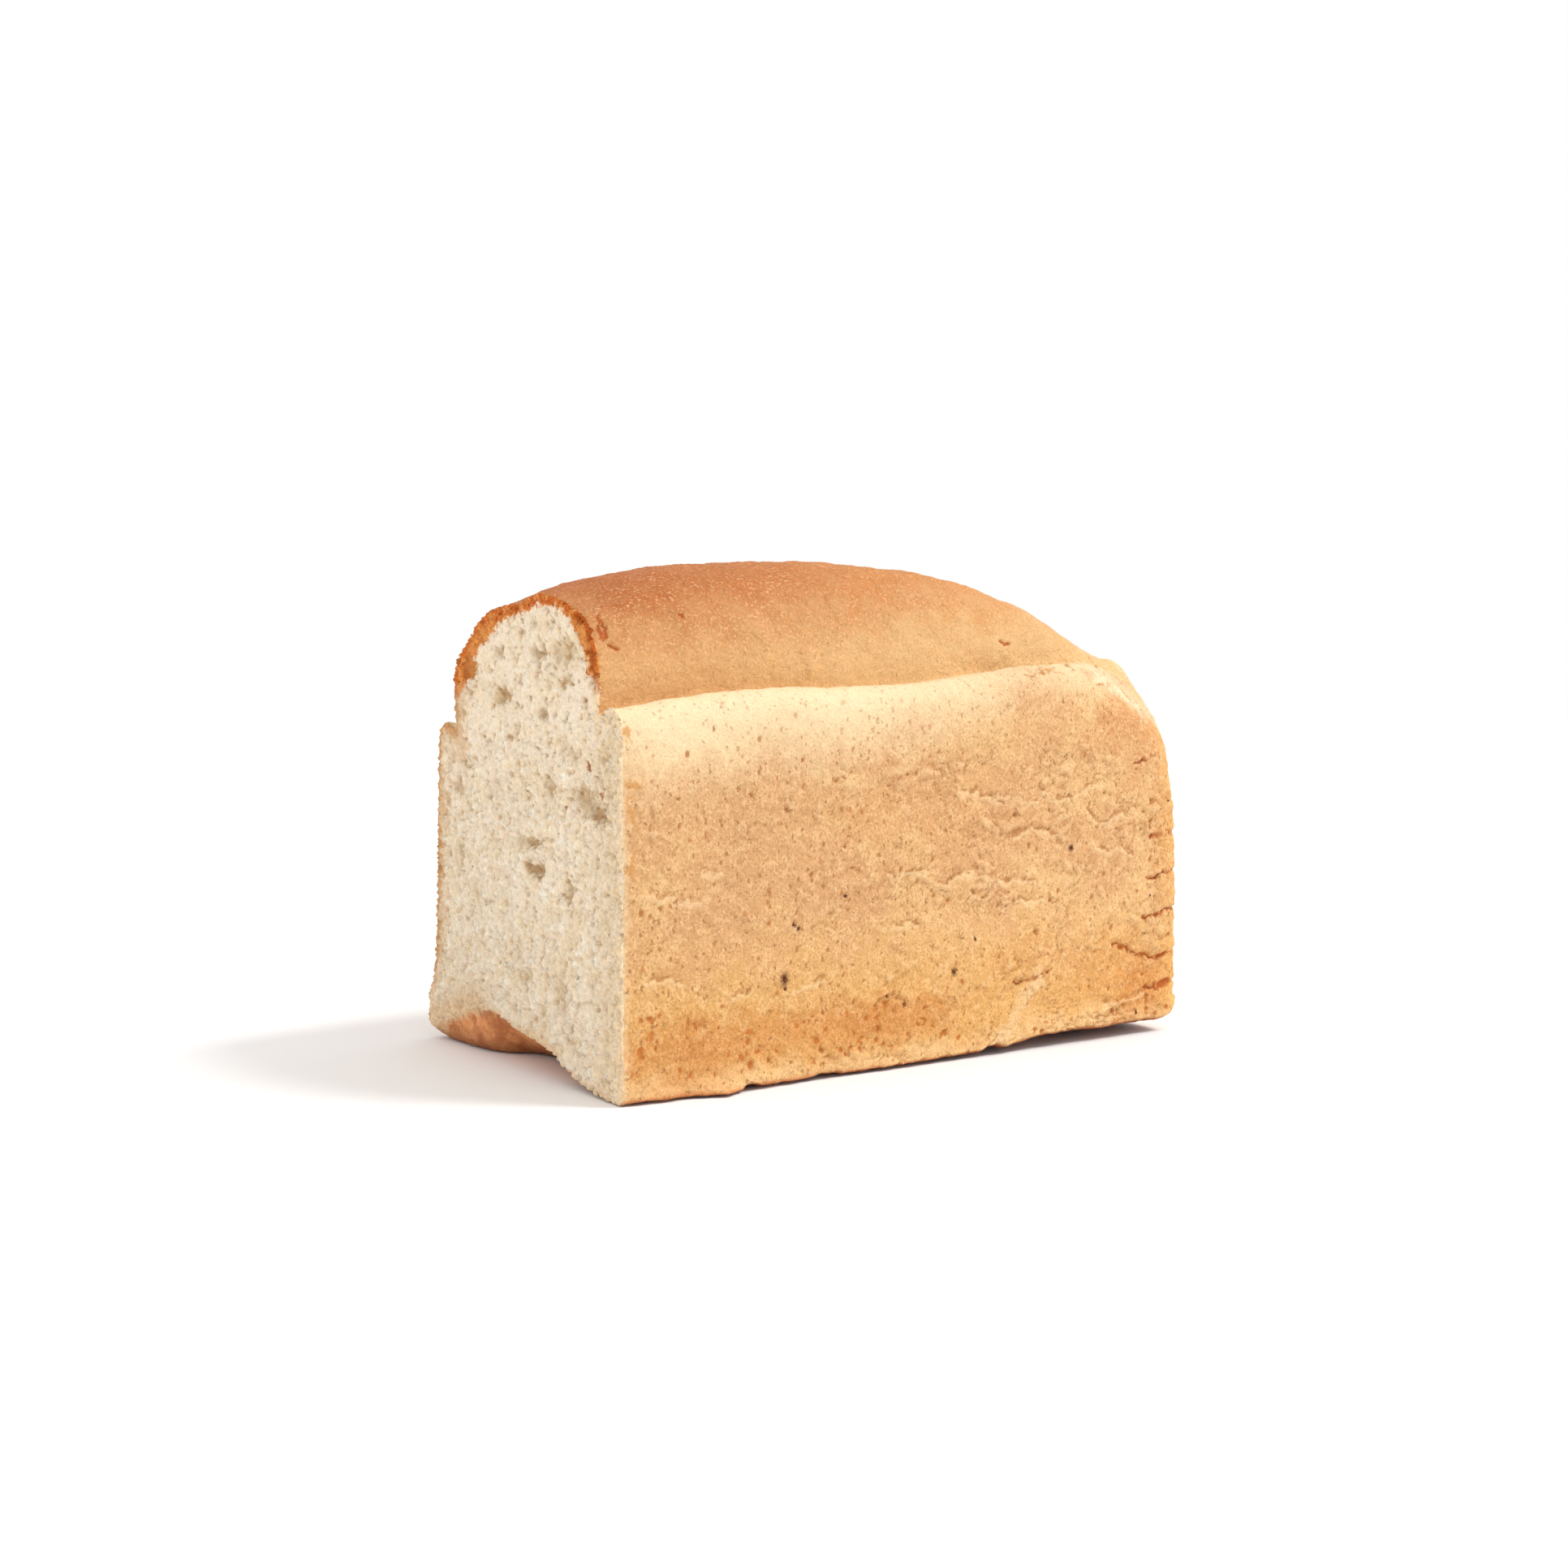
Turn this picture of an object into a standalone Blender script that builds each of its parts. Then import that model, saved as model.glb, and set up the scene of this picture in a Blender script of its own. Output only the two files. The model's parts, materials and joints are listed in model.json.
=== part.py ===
"""A large white tin loaf with its front end sliced off, as one solid.

The loaf stands on z = 0. The cut face is at -X, the end that baked against the tin at +X, and the
top is an oval dome that rose out of the tin behind a soft shoulder. Metres, +Z up.
"""

from math import cos, pi, radians, sin, sqrt

import bmesh
import bpy

# Driving dimensions
LENGTH = 0.1875
WIDTH = 0.1135
HEIGHT = 0.1345

CUT_X = -LENGTH / 2
SIDE_Y = WIDTH / 2

# Heights along the loaf, as (distance from the cut, z): near and far shoulders, and crest of the dome
NEAR_SHOULDER = ((0.0, 0.0942), (0.035, 0.0990), (0.085, 0.1008), (0.128, 0.1060), (LENGTH, 0.1105))
FAR_SHOULDER = ((0.0, 0.0905), (0.035, 0.0965), (0.085, 0.1010), (0.128, 0.1060), (LENGTH, 0.1105))
CREST = ((0.0, 0.1207), (0.018, 0.1277), (0.038, 0.1320), (0.075, HEIGHT),
         (0.105, 0.1340), (0.136, 0.1284), (0.158, 0.1214), (LENGTH, 0.1059))

# Behind the cut the far wall leans in and flares out at its foot, as (z, inset)
SLUMP = ((0.0, 0.0004), (0.011, 0.0002), (0.022, 0.0045), (0.045, 0.0066), (0.095, 0.0080), (0.140, 0.0080))
SLUMP_REACH = 0.075

# Dome: side offsets at the notch, and how square its section is, the far half as (distance, squareness)
DOME_NEAR_Y = -0.0462
DOME_FAR_Y = 0.0455
DOME_FAR_Y_AT_CUT = 0.0372
DOME_NEAR_SQUARENESS = 3.55
DOME_FAR_SQUARENESS = ((0.0, 2.8), (0.045, 2.3))
DOME_END = 0.1812
DOME_END_REACH = 0.0431
DOME_END_SQUARENESS = 1.63
DOME_SPREAD = 2.5
DOME_ASPECT = 1.3
NOTCH_DEPTH = 0.0024
NOTCH_FADE = 0.020
NECK = 0.0012
NECK_FADE = 0.012

# Shoulder and foot rounding, small at the cut and large at the tin end
SHOULDER_RADIUS = ((0.0, 0.0062), (0.093, 0.0075), (LENGTH, 0.0090))
NEAR_FOOT_RADIUS = ((0.0, 0.0026), (0.093, 0.0042), (LENGTH, 0.0080))
FAR_FOOT_RADIUS = ((0.0, 0.0024), (0.005, 0.0065), (LENGTH, 0.0080))
EDGE_LIFT = ((0.0, 0.0), (0.063, 0.0002), (0.108, 0.0012), (0.153, 0.0022), (LENGTH, 0.0034))
FLAT_HALF_WIDTH = 0.030

# Tin end: rounding of its upright edges, as (z, radius), and of its foot and its rim
END_RADIUS = ((0.055, 0.0049), (0.092, 0.0128))
END_FOOT_RADIUS = 0.0105
END_RIM_RADIUS = 0.0076
MIDDLE_Z = 0.045

# Top corner of the tin end on the near side, where the dough didn't fill the tin: a soft slanted facet
FACET_POINT = (0.046, -SIDE_Y, 0.1083)
FACET_NORMAL = (0.375, -0.704, 0.603)
FACET_BLEND = 0.0038

# Hollow under the cut, as (y, z) at the cut and as (y, how far in it runs)
ARCH = ((-0.0568, 0.0), (-0.0450, 0.0007), (-0.0300, 0.0034), (-0.0195, 0.0078), (-0.0020, 0.0101),
        (0.0178, 0.0134), (0.0309, 0.0118), (0.0487, 0.0059), (0.0568, 0.0032))
ARCH_REACH = ((0.0, 0.0180), (0.0125, 0.0150), (0.0215, 0.0050), (0.0350, 0.0025))

# Points round one section, and stations along the loaf
BASE_POINTS = 21
CORNER_POINTS = 4
WALL_POINTS = 17
SHOULDER_POINTS = 6
DOME_POINTS = 31
HOLLOW_STATIONS = 7
BODY_STATIONS = 22
END_STATIONS = 11
EDGE_STATIONS = 6
HOLLOW_CROWDING = 1.6
TOP_CROWDING = 1.4
SHARP_ANGLE = radians(45)


def along(points, t):
    """Smooth curve through (t, value) points, read at t."""
    if t <= points[0][0]:
        return points[0][1]
    if t >= points[-1][0]:
        return points[-1][1]
    slopes = [(b[1] - a[1]) / (b[0] - a[0]) for a, b in zip(points, points[1:])]
    tangents = [slopes[0]]
    for before, after in zip(slopes, slopes[1:]):
        tangents.append(0.0 if before * after <= 0 else 2 * before * after / (before + after))
    tangents.append(slopes[-1])
    i = max(k for k in range(len(slopes)) if points[k][0] <= t)
    span = points[i + 1][0] - points[i][0]
    u = (t - points[i][0]) / span
    from_left = points[i][1] * (1 + 2 * u) + tangents[i] * span * u
    from_right = points[i + 1][1] * (3 - 2 * u) - tangents[i + 1] * span * (1 - u)
    return from_left * (1 - u) ** 2 + from_right * u * u


def ease(t):
    """0 to 1 with level ends."""
    t = min(1.0, max(0.0, t))
    return t * t * (3 - 2 * t)


def slump(d):
    """How much of the slump behind the cut is left at distance d from it: 1 to 0."""
    return ease(1 - d / SLUMP_REACH)


def underside(d, y):
    """Height of the base: flat in the middle, hollow under the cut, lifted at the long edges."""
    hollow = along(ARCH, y) * (1 - ease(d / along(ARCH_REACH, y)))
    edge = max(0.0, abs(y) - FLAT_HALF_WIDTH) / (SIDE_Y - FLAT_HALF_WIDTH)
    return hollow + along(EDGE_LIFT, d) * edge * edge


def dome_height(d, y, near_y, far_y, floor_z):
    """Height of the dome above the shoulder line, as part of an oval cushion."""
    centre = (near_y + far_y) / 2
    half = (far_y - near_y) / 2
    squareness = DOME_NEAR_SQUARENESS if y < centre else along(DOME_FAR_SQUARENESS, d)
    across = min(1.0, abs(y - centre) / half)
    end = min(1.0, max(0.0, (d - DOME_END + DOME_END_REACH) / DOME_END_REACH))
    section_rise = (1 - across ** squareness) ** (1 / squareness)
    return (along(CREST, d) - floor_z) * section_rise * (1 - end ** DOME_END_SQUARENESS)


def quarter(centre, radius, start, count):
    """Points on a quarter circle in a section, from the start angle on, clockwise seen from the cut."""
    step = pi / 2 / (count - 1)
    return [(centre[0] - radius * cos(start + i * step), centre[1] + radius * sin(start + i * step))
            for i in range(count)]


def base_points(d, near_foot, far_foot):
    """The base, from the far foot to the near one."""
    start, end = SIDE_Y - far_foot, -SIDE_Y + near_foot
    places = [start + (end - start) * i / (BASE_POINTS - 1) for i in range(BASE_POINTS)]
    return [(y, underside(d, y)) for y in places]


def wall_heights(low, high):
    """Heights up a side wall between its rounded edges, closer together towards the top."""
    return [high - (high - low) * (1 - i / WALL_POINTS) ** TOP_CROWDING for i in range(1, WALL_POINTS)]


def near_side(d, foot, top, roll):
    """Near foot, wall and shoulder, going up."""
    sill = underside(d, -SIDE_Y + foot)
    points = quarter((-SIDE_Y + foot, sill + foot), foot, -pi / 2, CORNER_POINTS)[1:]
    points += [(-SIDE_Y, z) for z in wall_heights(sill + foot, top - roll)]
    points += quarter((-SIDE_Y + roll, top - roll), roll, 0.0, SHOULDER_POINTS)
    return points


def dome(d, near_top, far_top):
    """The dome, from the near notch to the far one, its sides drawn in a little at the notches."""
    near_y = DOME_NEAR_Y
    far_y = DOME_FAR_Y + (DOME_FAR_Y_AT_CUT - DOME_FAR_Y) * slump(d)
    centre, half = (near_y + far_y) / 2, (far_y - near_y) / 2
    notch = NOTCH_DEPTH * (1 - ease((d - DOME_END) / NOTCH_FADE + 1))
    points = []
    for i in range(DOME_POINTS):
        turn = pi * i / (DOME_POINTS - 1)
        reach = (abs(cos(turn)) ** DOME_SPREAD + (DOME_ASPECT * sin(turn)) ** DOME_SPREAD) ** (1 / DOME_SPREAD)
        y = centre - half * cos(turn) / reach
        floor_z = near_top + (far_top - near_top) * (y - near_y) / (far_y - near_y) - notch
        points.append((y, floor_z + dome_height(d, y, near_y, far_y, floor_z)))
    neck = NECK * (1 - ease((d - DOME_END + DOME_END_REACH) / NECK_FADE + 1))
    points[0] = (points[0][0] + neck, points[0][1])
    points[-1] = (points[-1][0] - neck, points[-1][1])
    return points


def far_side(d, foot, top, roll):
    """Far shoulder, wall and foot, going down."""
    sill = underside(d, SIDE_Y - foot)
    wall_y = SIDE_Y - along(SLUMP, top) * slump(d)
    shoulder = quarter((wall_y - roll, top - roll), roll, 0.0, SHOULDER_POINTS)
    points = [(2 * (wall_y - roll) - y, z) for y, z in shoulder[::-1]]
    for z in wall_heights(sill + foot, top - roll)[::-1]:
        points.append((SIDE_Y - along(SLUMP, z) * slump(d), z))
    corner = quarter((SIDE_Y - foot, sill + foot), foot, -pi / 2, CORNER_POINTS)
    points += [(2 * (SIDE_Y - foot) - y, z) for y, z in corner[:0:-1]]
    return points


def drawn_in(d, radius):
    """How far an edge rounded by radius has drawn in at distance d from the cut."""
    into = max(0.0, d - (LENGTH - radius))
    return radius - sqrt(max(0.0, radius * radius - into * into))


def rounded_end(d, y, z):
    """Draws a section in towards its middle over the last stretch, to round off the tin end."""
    y *= 1 - drawn_in(d, along(END_RADIUS, z)) / SIDE_Y
    radius, limit = (END_FOOT_RADIUS, 0.0) if z < MIDDLE_Z else (END_RIM_RADIUS, HEIGHT)
    return y, MIDDLE_Z + (z - MIDDLE_Z) * (1 - drawn_in(d, radius) / abs(limit - MIDDLE_Z))


def faceted(x, y, z):
    """Presses what lies outside the corner's slanted facet back onto it, within the section."""
    nx, ny, nz = FACET_NORMAL
    px, py, pz = FACET_POINT
    outside = nx * (x - px) + ny * (y - py) + nz * (z - pz)
    if outside <= -FACET_BLEND:
        return x, y, z
    soft = outside if outside > FACET_BLEND else (outside + FACET_BLEND) ** 2 / (4 * FACET_BLEND)
    shift = soft / (ny * ny + nz * nz)
    return x, y - ny * shift, z - nz * shift


def section(d):
    """The loaf's closed outline at distance d from the cut: base, near side, dome, far side."""
    near_foot, far_foot = along(NEAR_FOOT_RADIUS, d), along(FAR_FOOT_RADIUS, d)
    near_top, far_top = along(NEAR_SHOULDER, d), along(FAR_SHOULDER, d)
    roll = along(SHOULDER_RADIUS, d)
    outline = base_points(d, near_foot, far_foot)
    outline += near_side(d, near_foot, near_top, roll)
    outline += dome(d, near_top, far_top)
    outline += far_side(d, far_foot, far_top, roll)
    return [faceted(CUT_X + d, *rounded_end(d, y, z)) for y, z in outline]


def stations():
    """Where the sections stand: close together in the hollow, at the dome's end and round the tin end."""
    hollow = max(reach for _, reach in ARCH_REACH)
    dome_end = DOME_END - DOME_END_REACH
    places = [hollow * (i / HOLLOW_STATIONS) ** HOLLOW_CROWDING for i in range(HOLLOW_STATIONS)]
    places += [hollow + (dome_end - hollow) * i / BODY_STATIONS for i in range(BODY_STATIONS)]
    places += [dome_end + DOME_END_REACH * sin(pi / 2 * i / END_STATIONS) for i in range(END_STATIONS)]
    places += [DOME_END + (LENGTH - DOME_END) * sin(pi / 2 * i / EDGE_STATIONS) for i in range(EDGE_STATIONS + 1)]
    return places


def crust_material():
    """Baked crust, golden tan."""
    material = bpy.data.materials.new("crust")
    material.use_nodes = True
    shader = material.node_tree.nodes["Principled BSDF"]
    shader.inputs["Base Color"].default_value = (0.80, 0.47, 0.21, 1.0)
    shader.inputs["Roughness"].default_value = 0.75
    shader.inputs["Metallic"].default_value = 0.0
    return material


def crumb_material():
    """White crumb on the cut face."""
    material = bpy.data.materials.new("crumb")
    material.use_nodes = True
    shader = material.node_tree.nodes["Principled BSDF"]
    shader.inputs["Base Color"].default_value = (0.78, 0.61, 0.43, 1.0)
    shader.inputs["Roughness"].default_value = 0.9
    shader.inputs["Metallic"].default_value = 0.0
    return material


def make_loaf(collection):
    """Lofts the sections into one closed body, capped flat at the cut and at the tin end."""
    body = bmesh.new()
    rings = [[body.verts.new(point) for point in section(d)] for d in stations()]
    count = len(rings[0])
    for ring, following in zip(rings, rings[1:]):
        for i in range(count):
            j = (i + 1) % count
            body.faces.new((ring[i], ring[j], following[j], following[i]))
    cut = body.faces.new(rings[0][::-1])
    cut.material_index = 1
    body.faces.new(rings[-1])
    bmesh.ops.recalc_face_normals(body, faces=body.faces[:])
    mesh = bpy.data.meshes.new("loaf")
    body.to_mesh(mesh)
    body.free()
    mesh.shade_smooth()
    mesh.set_sharp_from_angle(angle=SHARP_ANGLE)
    mesh.materials.append(crust_material())
    mesh.materials.append(crumb_material())
    loaf = bpy.data.objects.new("loaf", mesh)
    collection.objects.link(loaf)
    return loaf


def clear_scene():
    """Removes what the new file starts with."""
    for old in list(bpy.data.objects):
        bpy.data.objects.remove(old)


def main():
    """Builds the loaf in a collection of its own."""
    clear_scene()
    collection = bpy.data.collections.new("tin_loaf")
    bpy.context.scene.collection.children.link(collection)
    make_loaf(collection)


main()
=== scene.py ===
import json
from math import radians

import bpy
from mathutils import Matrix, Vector

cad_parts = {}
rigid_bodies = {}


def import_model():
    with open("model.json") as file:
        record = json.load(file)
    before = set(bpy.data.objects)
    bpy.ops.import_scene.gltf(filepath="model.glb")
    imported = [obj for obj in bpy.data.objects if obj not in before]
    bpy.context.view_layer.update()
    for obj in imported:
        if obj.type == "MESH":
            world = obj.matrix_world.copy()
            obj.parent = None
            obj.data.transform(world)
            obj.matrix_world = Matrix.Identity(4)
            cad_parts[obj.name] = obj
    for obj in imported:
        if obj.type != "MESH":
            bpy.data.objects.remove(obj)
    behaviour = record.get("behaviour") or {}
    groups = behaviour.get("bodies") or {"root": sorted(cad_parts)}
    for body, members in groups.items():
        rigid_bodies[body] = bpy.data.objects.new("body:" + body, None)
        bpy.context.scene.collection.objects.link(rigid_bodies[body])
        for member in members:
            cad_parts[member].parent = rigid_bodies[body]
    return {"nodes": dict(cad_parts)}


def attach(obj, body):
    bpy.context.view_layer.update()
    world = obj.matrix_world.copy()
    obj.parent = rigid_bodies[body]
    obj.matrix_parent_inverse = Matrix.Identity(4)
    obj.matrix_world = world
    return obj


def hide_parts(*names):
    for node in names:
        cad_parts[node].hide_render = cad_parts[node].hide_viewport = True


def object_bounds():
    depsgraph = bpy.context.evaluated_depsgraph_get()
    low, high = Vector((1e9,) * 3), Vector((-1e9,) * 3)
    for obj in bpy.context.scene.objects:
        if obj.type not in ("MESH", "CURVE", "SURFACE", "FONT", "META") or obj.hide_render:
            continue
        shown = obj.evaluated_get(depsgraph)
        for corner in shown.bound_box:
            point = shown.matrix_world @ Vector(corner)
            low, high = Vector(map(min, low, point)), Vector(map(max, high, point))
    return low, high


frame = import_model()
cadLow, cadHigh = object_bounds()
mm = 1000                                               # millimetres in a metre
print("frame loaded, box in mm:", [round(side * mm, 1) for side in cadHigh - cadLow])

# where the cut face and the near side are, in mm
cutX = cadLow.x * mm
nearY = cadLow.y * mm


# values in a node tree, which can be added and multiplied like numbers
class Field:
    def __init__(self, tree, socket):
        self.tree = tree
        self.socket = socket

    def math(self, operation, *others):
        settings = {"operation": operation}
        return addNode(self.tree, "ShaderNodeMath", settings, dict(enumerate((self, *others))))

    def vector(self, operation, *others):
        settings = {"operation": operation}
        return addNode(self.tree, "ShaderNodeVectorMath", settings, dict(enumerate((self, *others))))

    def __add__(self, other):
        return self.math("ADD", other)

    def __mul__(self, other):
        return self.math("MULTIPLY", other)

    def __sub__(self, other):
        return self.math("SUBTRACT", other)

    def __rsub__(self, other):
        return self * -1 + other

    def __truediv__(self, other):
        return self.math("DIVIDE", other)

    def __pow__(self, other):
        return self.math("POWER", other)

    def __abs__(self):
        return self.math("ABSOLUTE")

    __radd__ = __add__
    __rmul__ = __mul__

    def atLeast(self, least):
        return self.math("MAXIMUM", least)

    def atMost(self, most):
        return self.math("MINIMUM", most)

    def root(self):
        return self.math("SQRT")

    def ramp(self, start, end, low=0.0, high=1.0):      # eased from low at start to high at end
        values = {"Value": self, "From Min": start, "From Max": end, "To Min": low, "To Max": high}
        return addNode(self.tree, "ShaderNodeMapRange", {"interpolation_type": "SMOOTHSTEP"}, values)

    def times(self, amount):                            # a vector made longer
        return addNode(self.tree, "ShaderNodeVectorMath", {"operation": "SCALE"}, {0: self, "Scale": amount})

    def stretched(self, x, y, z):
        return self.vector("MULTIPLY", (x, y, z))

    def moved(self, x, y, z):
        return self.vector("ADD", (x, y, z))

    def split(self):
        node = addNode(self.tree, "ShaderNodeSeparateXYZ", {}, {0: self}).socket.node
        return [Field(self.tree, output) for output in node.outputs]


def addNode(tree, kind, settings=None, values=None, output=0):
    node = tree.nodes.new(kind)
    for name, value in (settings or {}).items():
        setattr(node, name, value)
    for name, value in (values or {}).items():
        if isinstance(value, Field):
            tree.links.new(value.socket, node.inputs[name])
        else:
            node.inputs[name].default_value = value
    return Field(tree, node.outputs[output])


def joined(x, y, z):                                    # a vector from three values
    tree = next(value.tree for value in (x, y, z) if isinstance(value, Field))
    return addNode(tree, "ShaderNodeCombineXYZ", {}, {0: x, 1: y, 2: z})


def swell(place, size, seed=0, detail=2.0, roughness=0.5):   # smooth noise, about -1 to 1
    values = {"Vector": place.moved(37 * seed, -19 * seed, 53 * seed), "Scale": 1 / size,
              "Detail": detail, "Roughness": roughness}
    return addNode(place.tree, "ShaderNodeTexNoise", {"normalize": False}, values)


def jitter(place, size, amount, seed=0):                # the place, moved about by smooth noise
    values = {"Vector": place.moved(11 * seed, 71 * seed, -29 * seed), "Scale": 1 / size, "Detail": 1.5}
    wander = addNode(place.tree, "ShaderNodeTexNoise", {"normalize": False}, values, 1)
    return place.vector("ADD", wander.times(amount))


def bubbles(place, size, least, most, seed=0, rarity=1.0):
    # round hollows from 0 to 1 deep in cells of this size, with a random radius in each cell
    values = {"Vector": place.moved(-13 * seed, 41 * seed, 23 * seed), "Scale": 1 / size}
    distance = addNode(place.tree, "ShaderNodeTexVoronoi", {}, values)
    chance = Field(place.tree, distance.socket.node.outputs[1]).split()[0]
    radius = chance ** rarity * (most - least) + least
    share = distance * size / radius
    return (1 - share * share).atLeast(0.0).root()


def spot(u, v, centre, radii, softness=0.35):           # 1 in the middle of an oval, 0 outside it
    du = (u - centre[0]) / radii[0]
    dv = (v - centre[1]) / radii[1]
    return (du * du + dv * dv).root().ramp(1.0 + softness, 1.0 - softness)


def mixed(first, second, share):                        # two plain values
    return first * (1 - share) + second * share


def tone(code):                                         # a hex colour as linear light
    parts = [int(code[i:i + 2], 16) / 255 for i in (0, 2, 4)]
    return (*[((part + 0.055) / 1.055) ** 2.4 for part in parts], 1.0)


def tones(**codes):                                     # named colours
    return {name: tone(code) for name, code in codes.items()}


def tinted(first, second, share):                       # the first colour, with a share of the second
    tree = share.tree if isinstance(share, Field) else first.tree
    settings = {"data_type": "RGBA", "clamp_result": False}
    return addNode(tree, "ShaderNodeMix", settings, {0: share, 6: first, 7: second}, 2)


def pickOnly(piece):                                    # the one piece that the operators act on
    bpy.ops.object.select_all(action="DESELECT")
    piece.select_set(True)
    bpy.context.view_layer.objects.active = piece


def applyModifier(piece, name, kind, **settings):
    pickOnly(piece)
    modifier = piece.modifiers.new(name, kind)
    for key, value in settings.items():
        setattr(modifier, key, value)
    bpy.ops.object.modifier_apply(modifier=name)


class Relief:                                           # a node tree that moves and marks a mesh's points
    def __init__(self, name):
        self.tree = bpy.data.node_groups.new(name, "GeometryNodeTree")
        self.tree.interface.new_socket("Geometry", in_out="INPUT", socket_type="NodeSocketGeometry")
        self.tree.interface.new_socket("Geometry", in_out="OUTPUT", socket_type="NodeSocketGeometry")
        self.shape = addNode(self.tree, "NodeGroupInput")
        self.place = addNode(self.tree, "GeometryNodeInputPosition").times(mm)
        self.facing = addNode(self.tree, "GeometryNodeInputNormal")

    def push(self, direction, distance, where):         # distance in millimetres
        values = {"Geometry": self.shape, "Offset": direction.times(distance / mm), "Selection": where}
        self.shape = addNode(self.tree, "GeometryNodeSetPosition", {}, values)

    def put(self, place):                               # place in millimetres
        values = {"Geometry": self.shape, "Position": place.times(1 / mm)}
        self.shape = addNode(self.tree, "GeometryNodeSetPosition", {}, values)

    def mark(self, name, value, where=True):
        values = {"Geometry": self.shape, "Name": name, "Value": value, "Selection": where}
        self.shape = addNode(self.tree, "GeometryNodeStoreNamedAttribute", {"data_type": "FLOAT"}, values)

    def marked(self, name):
        return addNode(self.tree, "GeometryNodeInputNamedAttribute", {"data_type": "FLOAT"}, {"Name": name})

    def blurred(self, value, steps, weight, kind="FLOAT"):
        values = {"Value": value, "Iterations": steps, "Weight": weight}
        return addNode(self.tree, "GeometryNodeBlurAttribute", {"data_type": kind}, values)

    def gap(self, guide, place, part="EDGES"):          # millimetres from a guide object
        target = addNode(self.tree, "GeometryNodeObjectInfo", {}, {"Object": guide}, "Geometry")
        values = {"Geometry": target, "Sample Position": place.times(1 / mm)}
        return addNode(self.tree, "GeometryNodeProximity", {"target_element": part}, values, "Distance") * mm

    def paint(self, material, choice):
        values = {"Geometry": self.shape, "Selection": choice, "Material": material}
        self.shape = addNode(self.tree, "GeometryNodeSetMaterial", {}, values)

    def applyTo(self, piece):
        output = self.tree.nodes.new("NodeGroupOutput")
        self.tree.links.new(self.shape.socket, output.inputs[0])
        applyModifier(piece, self.tree.name, "NODES", node_group=self.tree)


def strokes(name, lines):                               # guide lines through (across, up) points, in mm
    points = []
    edges = []
    for line in lines:
        edges += [(len(points) + i, len(points) + i + 1) for i in range(len(line) - 1)]
        points += [(across / mm, 0.0, up / mm) for across, up in line]
    mesh = bpy.data.meshes.new(name)
    mesh.from_pydata(points, edges, [])
    guide = bpy.data.objects.new(name, mesh)
    bpy.context.scene.collection.objects.link(guide)
    return guide


# the shoulder's height at the cut, and its rises as (from, to, rise) with distance from the cut, in mm
shoulderLine = {
    "near": (94.2, (0, 35, 4.8), (35, 85, 1.8), (85, 128, 5.2), (128, 187.5, 4.5)),
    "far": (90.5, (0, 35, 6.0), (35, 85, 4.5), (85, 128, 5.0), (128, 187.5, 4.5)),
}

def shoulderHeight(x, side="near"):                     # the shoulder's top, which rises to the tin end
    height, *rises = shoulderLine[side]
    return sum(((x - cutX).ramp(start, end, 0.0, rise) for start, end, rise in rises), height)


# the notches between dome and walls, in mm, and how steeply the dome rises from them
notch = {
    "near": -45.0, "far": 44.3, "farAtCut": 36.0, "farRun": 75.0, "drop": 2.4, "end": 87.0,
    "slope": (0.83, 0.56),
}

def domeShare(place, softness):                         # 1 on the dome, 0 on the walls
    x, y, z = place.split()
    across, up = notch["slope"]
    nearSide = (y - notch["near"]) * across + (z - shoulderHeight(x) + notch["drop"]) * up
    farEdge = (x - cutX).ramp(0.0, notch["farRun"], notch["farAtCut"], notch["far"])
    farSide = (farEdge - y) * across + (z - shoulderHeight(x, "far") + notch["drop"]) * up
    return nearSide.atMost(farSide).atMost((notch["end"] - x) * 0.5).ramp(-softness, softness)


# camera, floor and light, in metres and degrees
studio = {
    "cameraPlace": (-0.2974, -0.42238, 0.09302), "cameraTurn": (87.72, 0, -34.34), "lens": 41.0,
    "clipStart": 0.01, "floor": "f3f1f0", "floorSize": 30, "floorRoughness": 0.9, "floorGloss": 0.1,
    "sky": 1.0, "sun": 1.9, "sunFrom": (0.62, -0.5, 1.0), "sunSize": 18,
}

def makeStudio():
    turn = [radians(angle) for angle in studio["cameraTurn"]]
    bpy.ops.object.camera_add(location=studio["cameraPlace"], rotation=turn)
    camera = bpy.context.object
    camera.name = "camera"
    camera.data.lens = studio["lens"]
    camera.data.clip_start = studio["clipStart"]
    bpy.context.scene.camera = camera

    bpy.ops.mesh.primitive_plane_add(size=studio["floorSize"])
    floor = bpy.context.object
    floor.name = "floor"
    paper = bpy.data.materials.new("paper")
    paper.use_nodes = True
    shader = paper.node_tree.nodes["Principled BSDF"]
    shader.inputs["Base Color"].default_value = tone(studio["floor"])
    shader.inputs["Roughness"].default_value = studio["floorRoughness"]
    shader.inputs["Specular IOR Level"].default_value = studio["floorGloss"]
    floor.data.materials.append(paper)

    world = bpy.data.worlds.new("daylight")
    bpy.context.scene.world = world
    world.use_nodes = True
    world.node_tree.nodes["Background"].inputs["Color"].default_value = (1, 1, 1, 1)
    world.node_tree.nodes["Background"].inputs["Strength"].default_value = studio["sky"]
    bpy.context.scene.view_settings.view_transform = "Standard"

    sunTurn = Vector(studio["sunFrom"]).to_track_quat("Z", "Y").to_euler()
    bpy.ops.object.light_add(type="SUN", rotation=sunTurn)
    sun = bpy.context.object
    sun.name = "softSun"
    sun.data.angle = radians(studio["sunSize"])
    sun.data.energy = studio["sun"]
    print("studio made")


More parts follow.
